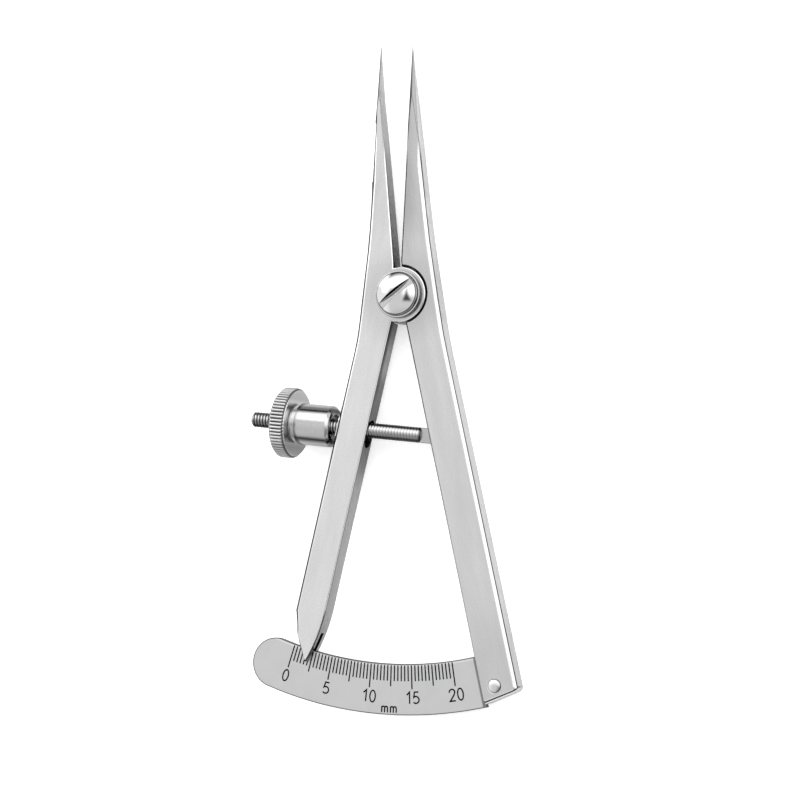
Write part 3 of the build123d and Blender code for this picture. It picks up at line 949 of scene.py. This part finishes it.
@dataclass
class Legs:
    """The two legs, lapped at the pivot."""

    fixed_lean: float = math.radians(12.3)
    fixed_base: float = 0.57
    fixed_rims: Span = (0.6, 0.28)
    fixed_rim_bottom: float = -70.0
    moving_lean: float = math.radians(13.75)
    moving_base: float = 0.64
    moving_rims: Span = (0.7, 0.2)
    moving_rim_bottom: float = -50.3

    def build(self) -> None:
        """Makes both legs."""
        # The shades, shares and highlights set each leg's painted shade and painted highlight.
        fixed = LegSteel(
            side=Side.RIGHT, lean=self.fixed_lean, base=self.fixed_base, arm_end_shade=0.1,
            prong_inner_share=0.88, prong_shade=0.27, prong_inner_edge=1.0,
        )
        moving = LegSteel(
            side=Side.LEFT, lean=self.moving_lean, base=self.moving_base,
            outer_line=((0.12, 0.18), (1.0, 0.92)), inner_line=((-0.03, 0.07), (0.47, 0.43)),
            inner_rim_highlight=0.12, slot_shade=0.9, tail_raise=0.38, outer_reach=(28.6, 28.0),
        )
        Leg("fixed_leg", "fixed_side", fixed, *self.fixed_rims, self.fixed_rim_bottom).build()
        Leg("moving_leg", "moving_side", moving, *self.moving_rims, self.moving_rim_bottom).build()


@dataclass
class PivotStack:
    """Pivot screw with a domed, slotted head, and the washer under it."""

    shank_radius: float = 1.5
    rim_height: float = 0.55
    screw_cuts: Cuts = (0.0, 0.1, 0.05, 0.08, 0.22)
    dome_steps: int = 26
    slot_width: float = 0.95
    slot_depth: float = 1.1
    slot_angle: float = math.radians(36.0)
    slot_edge: float = 0.05
    head_ring_inset: float = 0.1
    head_ring_half: float = 0.12
    washer_ring_gap: float = 0.04
    washer_ring_half: float = 0.1
    washer_base: float = 0.55
    washer_gap: float = 0.05
    washer_cuts: Cuts = (0.04, 0.12, 0.12, 0.04)
    sectors: int = 128

    def __post_init__(self) -> None:
        """Reads the head's and the washer's places from the frame."""
        self.axis = Spindle.facing_front()
        self.end, self.top, self.head_radius = self.axis.reach("pivot_screw")
        self.washer_low, self.washer_high, self.washer_radius = self.axis.reach("pivot_washer")

    def screw(self) -> Piece:
        """Turned screw with the driver slot cut across its head."""
        seat, shank, radius = self.washer_high, self.shank_radius, self.head_radius
        foot = [
            (self.end, 0.0), (self.end, shank), (seat, shank), (seat, radius),
            (seat + self.rim_height, radius),
        ]
        piece = domed_piece(
            "pivot_screw_polished", self.axis, foot, self.top, self.screw_cuts, self.dome_steps, self.sectors
        )
        half, reach = self.slot_width / 2, 2 * self.head_radius
        corners = np.array([
            (side * reach, edge * half, level)
            for level in (self.top - self.slot_depth, self.top + 1)
            for side, edge in ((-1, -1), (1, -1), (1, 1), (-1, 1))
        ], float)
        turn = np.array(Matrix.Rotation(self.slot_angle, 3, "Z"))
        cut_away(piece, ringed_piece("slot_cutter", (corners @ turn.T).reshape(2, 4, 3), False))
        soften_piece(piece, self.slot_edge)
        return piece

    def washer(self) -> Piece:
        """Ring with rounded rims."""
        low, high, radius = self.washer_low, self.washer_high, self.washer_radius
        hole = self.shank_radius + self.washer_gap
        corners = [(low, hole), (low, radius), (high, radius), (high, hole)]
        return turned_piece("pivot_washer_polished", self.axis, corners, self.washer_cuts, self.sectors)

    def build(self) -> None:
        """Makes both pieces in mirror finish."""
        # the head and the washer get painted rings of shade, the head also painted shade in its slot
        head = PolishedSteel(
            dark_rings=((self.head_radius - self.head_ring_inset, self.head_ring_half),),
            slot_angle=self.slot_angle, slot_reach=self.slot_width / 2,
        )
        screw = self.screw()
        settle(screw, head.material("pivot_head_mirror"), "fixed_side", ["pivot_screw"])
        half = self.washer_ring_half
        rings = ((self.head_radius + self.washer_ring_gap, half), (self.washer_radius, half))
        mirror = PolishedSteel(base=self.washer_base, dark_rings=rings).material("pivot_washer_mirror")
        settle(self.washer(), mirror, "fixed_side", ["pivot_washer"])


@dataclass
class ScalePlate:
    """The engraved arc plate, whose solid is kept, and the rivet that holds it."""

    first_mark: float = math.radians(-19.4)
    plate_width: float = 7.65
    rivet_shank: float = 0.6
    rivet_rim: float = 0.08
    rivet_cuts: Cuts = (0.0, 0.05, 0.0, 0.03, 0.06)
    rivet_base: float = 0.56
    rivet_rough: float = 0.34
    rivet_ring: float = 0.16
    dome_steps: int = 14
    sectors: int = 64

    def build(self) -> None:
        """Dresses the plate and makes the rivet."""
        _, top, outer = Spindle.facing_front().reach("scale_plate")
        finish = ScaleSteel(
            top=top, inner_radius=outer - self.plate_width, outer_radius=outer, first_angle=self.first_mark
        )
        dress_node("scale_plate", finish.material("scale_matt"))

        low, high = box_mm("plate_rivet")
        x, y, _ = ((low + high) / 2).tolist()
        radius = float(high[0] - low[0]) / 2
        seat = float(box_mm("fixed_leg")[1][2])
        foot = [
            (low[2], 0.0), (low[2], self.rivet_shank), (seat, self.rivet_shank), (seat, radius),
            (seat + self.rivet_rim, radius),
        ]
        rivet = domed_piece(
            "plate_rivet_polished", Spindle.facing_front(x, y), foot, high[2], self.rivet_cuts,
            self.dome_steps, self.sectors,
        )
        # painted ring and crescent of shade on the rivet's dome
        dome = PolishedSteel(
            base=self.rivet_base, rough=self.rivet_rough, centre=(x, y),
            dark_rings=((radius, self.rivet_ring),), crescent_radius=radius,
        )
        settle(rivet, dome.material("rivet_mirror"), "fixed_side", ["plate_rivet"])


@dataclass
class CrossScrew:
    """Threaded rod with a flat tang, the thrust sleeve on it and the thumb nut behind."""

    thread_pitch: float = 0.5
    thread_depth: float = 0.2
    thread_start: float = 4.45
    thread_steps: int = 10
    thread_sectors: int = 48
    crest_share: float = 0.3
    flank_share: float = 0.6
    lead_in: float = 0.35
    lead_root: float = 0.4
    end_drop: float = 0.12
    worn_end: float = 18.0
    worn_fade: float = 5.0
    worn_share: float = 0.35
    tang_width: float = 2.3
    tang_thickness: float = 1.2
    tang_overlap: float = 0.1
    tang_easing: float = 0.1
    tang_steps: int = 25
    bore_radius: float = 1.3
    rod_gap: float = 0.1
    sleeve_chamfer: float = 0.42
    sleeve_back_chamfer: float = 0.12
    sleeve_recess_radius: float = 1.95
    sleeve_recess_depth: float = 0.8
    sleeve_cuts: Cuts = (0.03, 0.05, 0.08, 0.1, 0.1, 0.06, 0.06, 0.03)
    collar_radius: float = 2.85
    collar_length: float = 0.5
    wheel_inset: float = 0.002
    wheel_bevel: float = 0.45
    countersink_radius: float = 1.9
    countersink_depth: float = 0.35
    nut_cuts: Cuts = (0.03, 0.08, 0.08, 0.1, 0.06, 0.06, 0.1, 0.1, 0.05)
    knurl_count: int = 62
    knurl_depth: float = 0.24
    knurl_steps: int = 10
    knurl_power: float = 0.55
    sectors: int = 128

    def __post_init__(self) -> None:
        """Finds the axis from the joints, and each piece's reach along it."""
        centre = np.array(joint("screw_swing")["pos_m"]) / MM
        outward = -np.array(joint("sleeve_slide")["axis"], float)
        self.axis = Spindle.through(centre, outward, (0, 0, 1))
        _, self.rod_end, self.rod_radius = self.axis.reach("adjusting_screw")
        self.sleeve_start, self.sleeve_end, self.sleeve_radius = self.axis.reach("thrust_sleeve")
        self.nut_start, self.nut_end, self.wheel_radius = self.axis.reach("thumb_nut")
        self.rod_radius = min(self.rod_radius, self.bore_radius - self.rod_gap)
        self.angle = math.atan2(outward[1], outward[0])

    def steel(self, crest: float, root: float, **fields: float) -> Material:
        """Turned steel about the screw's axis, with painted shade between a crest and a root radius."""
        centre = tuple(self.axis.centre.tolist())
        steel = TurnedSteel(centre=centre, angle=self.angle, crest_radius=crest, root_radius=root, **fields)
        return steel.material(f"turned_{crest:.1f}")

    def rod(self) -> Piece:
        """Rod with a helical thread.

        The radius at a distance and an angle is the crest's less the depth times a
        flattened triangle wave of distance / pitch - angle / full turn. The depth grows
        past the worn stretch that the sleeve slides on.
        """
        turns = (self.rod_end - self.thread_start) / self.thread_pitch
        rows = int(turns * self.thread_steps)
        distance = np.linspace(self.thread_start, self.rod_end, rows)[:, None]
        angle = round_turn(self.thread_sectors)
        phase = np.mod(distance / self.thread_pitch - angle / TURN, 1.0)
        wave = np.clip((np.abs(2 * phase - 1) - self.crest_share) / self.flank_share, 0, 1)
        grown = np.clip((distance - self.worn_end) / self.worn_fade, 0, 1)
        depth = self.thread_depth * (self.worn_share + (1 - self.worn_share) * grown)
        root = self.rod_radius - self.thread_depth
        fade = np.clip((distance - self.thread_start) / self.lead_in - self.lead_root, 0, 1)
        radius = root + (self.rod_radius - depth * wave - root) * fade
        radius = np.minimum(radius, root - self.end_drop + (self.rod_end - distance))
        return ringed_piece("adjusting_rod_threaded", self.axis.points(distance, radius, angle), False)

    def tang(self) -> Piece:
        """Flat oblong with a round end about the trunnion, its edges softened.

        The outline is a half circle and a straight run; each ring is that outline drawn in
        by a small step near the top and bottom faces.
        """
        half, ease = self.tang_width / 2, self.tang_easing
        turn = np.linspace(np.pi / 2, 3 * np.pi / 2, self.tang_steps)
        far = self.thread_start + self.tang_overlap
        along = np.append(half * np.cos(turn), (far, far))[:, None]
        across = np.append(half * np.sin(turn), (-half, half))[:, None]
        level = np.array([-0.5, -0.5, 0.5, 0.5]) * self.tang_thickness + np.array([0, ease, -ease, 0])
        drawn_in = 1 - np.array([ease, 0, 0, ease])[:, None, None] / half
        points = (
            self.axis.centre + along * self.axis.along + drawn_in * across * self.axis.across
            + level[:, None, None] * self.axis.up
        )
        return ringed_piece("adjusting_rod_tang", points, False)

    def sleeve(self) -> Piece:
        """Smooth barrel, chamfered and recessed towards the moving leg."""
        start, end, radius = self.sleeve_start, self.sleeve_end, self.sleeve_radius
        bevel, back = self.sleeve_chamfer, self.sleeve_back_chamfer
        floor = start + self.sleeve_recess_depth
        corners = [
            (floor, self.bore_radius), (floor, self.sleeve_recess_radius),
            (start, self.sleeve_recess_radius), (start, radius - bevel), (start + bevel, radius),
            (end - back, radius), (end, radius - back), (end, self.bore_radius),
        ]
        return turned_piece("thrust_sleeve_polished", self.axis, corners, self.sleeve_cuts, self.sectors)

    def nut(self) -> Piece:
        """Wheel with a straight knurl and a short collar.

        The radius is the profile's, and no more than a toothed rim's: the wheel's radius
        less the knurl's depth times a raised cosine of the angle times the tooth count.
        """
        foot = self.nut_start + self.collar_length
        end, radius, bevel = self.nut_end, self.wheel_radius - self.wheel_inset, self.wheel_bevel
        corners = [
            (self.nut_start, self.bore_radius), (self.nut_start, self.collar_radius),
            (foot, self.collar_radius), (foot, radius - bevel), (foot + bevel, radius),
            (end - bevel, radius), (end, radius - bevel), (end, self.countersink_radius),
            (end - self.countersink_depth, self.bore_radius),
        ]
        profile = softened(corners, self.nut_cuts)
        angle = round_turn(self.knurl_count * self.knurl_steps)
        wave = (0.5 - 0.5 * np.cos(angle * self.knurl_count)) ** self.knurl_power
        radii = np.minimum(profile[:, 1:], radius - self.knurl_depth * (1 - wave))
        return ringed_piece("thumb_nut_knurled", self.axis.points(profile[:, :1], radii, angle), True)

    def build(self) -> None:
        """Makes the rod, its tang, the sleeve and the nut."""
        # the root, flank and low shades are painted shade
        thread = self.steel(
            self.rod_radius, self.rod_radius - self.thread_depth,
            base=0.46, rough=0.2, root_shade=0.85, flank_shade=0.85, low_shade=0.5,
        )
        milled = PolishedSteel(base=0.42, rough=0.3).material("tang_milled")
        smooth = self.steel(
            self.sleeve_radius, self.bore_radius,
            base=0.52, rough=0.15, flank_shade=0.75, flank_relief=0.55, low_shade=0.12,
        )
        knurl = self.steel(
            self.wheel_radius, self.wheel_radius - self.knurl_depth,
            base=0.64, rough=0.24, root_shade=0.85, flank_shade=0.28, low_shade=0.1,
        )
        settle(self.rod(), thread, "cross_screw", ["adjusting_screw"])
        settle(self.tang(), milled, "cross_screw", [])
        settle(self.sleeve(), smooth, "sleeve", ["thrust_sleeve"])
        settle(self.nut(), knurl, "nut", ["thumb_nut"])
        dress_node("trunnion_pin", PolishedSteel(base=0.55, rough=0.25).material("pin_end"))


@dataclass
class Studio:
    """Floor, light and camera."""

    azimuth: float = math.radians(22.0)
    elevation: float = math.radians(-5.7)
    aim: Triple = (0.152, -16.23, 3.0)
    distance: float = 304.17
    focal_length: float = 90.0
    sensor_width: float = 36.0
    clip_start: float = 0.005
    waist: float = 6.1
    floor_middle: float = -10.0
    floor_gap: float = 0.02
    floor_half: float = 900.0
    floor_colour: float = 0.93
    floor_rough: float = 0.9
    floor_glow: float = 0.42
    lens_direction: Span = (0.36, -0.12)
    lamp_place: Triple = (-0.6, 0.36, 0.42)
    lamp_size: float = 0.5
    lamp_energy: float = 1.0

    def camera(self) -> None:
        """Camera at the photograph's angle, level along the row's X axis."""
        turn = Matrix.Rotation(self.azimuth, 3, "Y") @ Matrix.Rotation(-self.elevation, 3, "X")
        data = bpy.data.cameras.new("camera")
        data.lens = self.focal_length
        data.sensor_width = self.sensor_width
        data.clip_start = self.clip_start
        camera = placed("camera", data)
        place = (Vector(self.aim) + turn.col[2] * self.distance) * MM
        camera.matrix_world = Matrix.Translation(place) @ turn.to_4x4()
        bpy.context.scene.camera = camera

    def floor(self) -> None:
        """Plain pale floor through the three points that the instrument lies on."""
        low, high = box_mm("thumb_nut")
        wheel = Vector((*(low + high)[:2] / 2, low[2]))
        low, high = box_mm("fixed_leg")
        arm_end, waist = Vector((high[0], low[1], low[2])), Vector((self.waist, 0.0, low[2]))
        normal = (arm_end - wheel).cross(waist - wheel).normalized()
        middle = Vector((0, self.floor_middle, 0))
        middle.z = wheel.z - ((middle - wheel).xy.dot(normal.xy)) / normal.z - self.floor_gap
        side = Vector((1, 0, 0)).cross(normal).normalized() * self.floor_half
        front = normal.cross(side)
        corners = [middle + side * a + front * b for a, b in ((-1, -1), (1, -1), (1, 1), (-1, 1))]
        mesh = bpy.data.meshes.new("floor")
        mesh.from_pydata([tuple(corner * MM) for corner in corners], [], [(0, 1, 2, 3)])
        floor = placed("floor", mesh)
        dress(floor, new_material("floor_white", self.floor_sockets))

    def floor_sockets(self, sheet: NodeSheet) -> Sockets:
        """Matt and pale, lifted to white where it is seen directly."""
        value = self.floor_colour
        return {
            "Base Color": (value, value, value, 1.0),
            "Roughness": self.floor_rough,
            "Emission Color": sheet.grey(sheet.seen() * self.floor_glow),
            "Emission Strength": 1.0,
        }

    def walls(self, x: Signal, y: Signal) -> Signal:
        """Brightness of the ceiling and the walls by direction, with the camera's dark lens."""
        ceiling = 1.02 - (-y).step(0.6, 0.95) * 0.3
        head_wall = y.step(0.28, 0.48) * 1.1
        left_wall = (-x).step(0.55, 0.8) * 0.35
        right_wall = x.step(0.0, 0.3) * y.step(-0.25, 0.1) * 0.9
        walls = ceiling.most(0.9) + head_wall.most(left_wall).most(right_wall)
        walls = walls.dimmed((x * 0.7 - y * 0.7).step(0.7, 0.92), 0.6)
        aside, above = (x - self.lens_direction[0]).size(), y - self.lens_direction[1]
        lens = (aside * 1.4 + above * 0.5).step(0.34, 0.06) * above.step(-0.34, -0.12)
        return walls.dimmed(lens, 0.9)

    def surround(self) -> None:
        """Soft box all round: bright walls, a paler ceiling and a dark line above the floor."""
        world = bpy.data.worlds.new("surround")
        bpy.context.scene.world = world
        world.use_nodes = True
        sheet = NodeSheet(world.node_tree)
        x, y, z = sheet.parts(sheet.out("ShaderNodeTexCoord", "Generated", {}))
        headward = y.most(0.0)
        above = ((z - headward * 0.1) * (headward * 0.42 + 0.09) ** -1.0).step(0.0, 1.0)
        above = above.most((-x).step(0.5, 0.7))
        seen = sheet.seen()
        strength = (self.walls(x, y) * above + (1.0 - above) * 0.05) * (1.0 - seen) + seen
        sockets = {"Color": (1, 1, 1, 1), "Strength": strength}
        background = sheet.out("ShaderNodeBackground", 0, sockets)
        sheet.node("ShaderNodeOutputWorld", {"Surface": background})

    def lamp(self) -> None:
        """One wide soft lamp from the upper left."""
        data = bpy.data.lights.new("softbox", "AREA")
        data.shape = "DISK"
        data.size = self.lamp_size
        data.energy = self.lamp_energy
        place = Vector(self.lamp_place)
        turn = place.to_track_quat("Z", "Y").to_matrix().to_4x4()
        placed("softbox", data).matrix_world = Matrix.Translation(place) @ turn

    def build(self) -> None:
        """Sets up the studio with plain colours."""
        bpy.context.scene.view_settings.view_transform = "Standard"
        self.camera()
        self.floor()
        self.surround()
        self.lamp()


def main() -> None:
    """Builds the instrument, piece by piece, and its studio."""
    logging.basicConfig(level=logging.INFO, format="%(name)s: %(message)s")
    Legs().build()
    PivotStack().build()
    ScalePlate().build()
    CrossScrew().build()
    Studio().build()


if __name__ == "__main__":
    main()
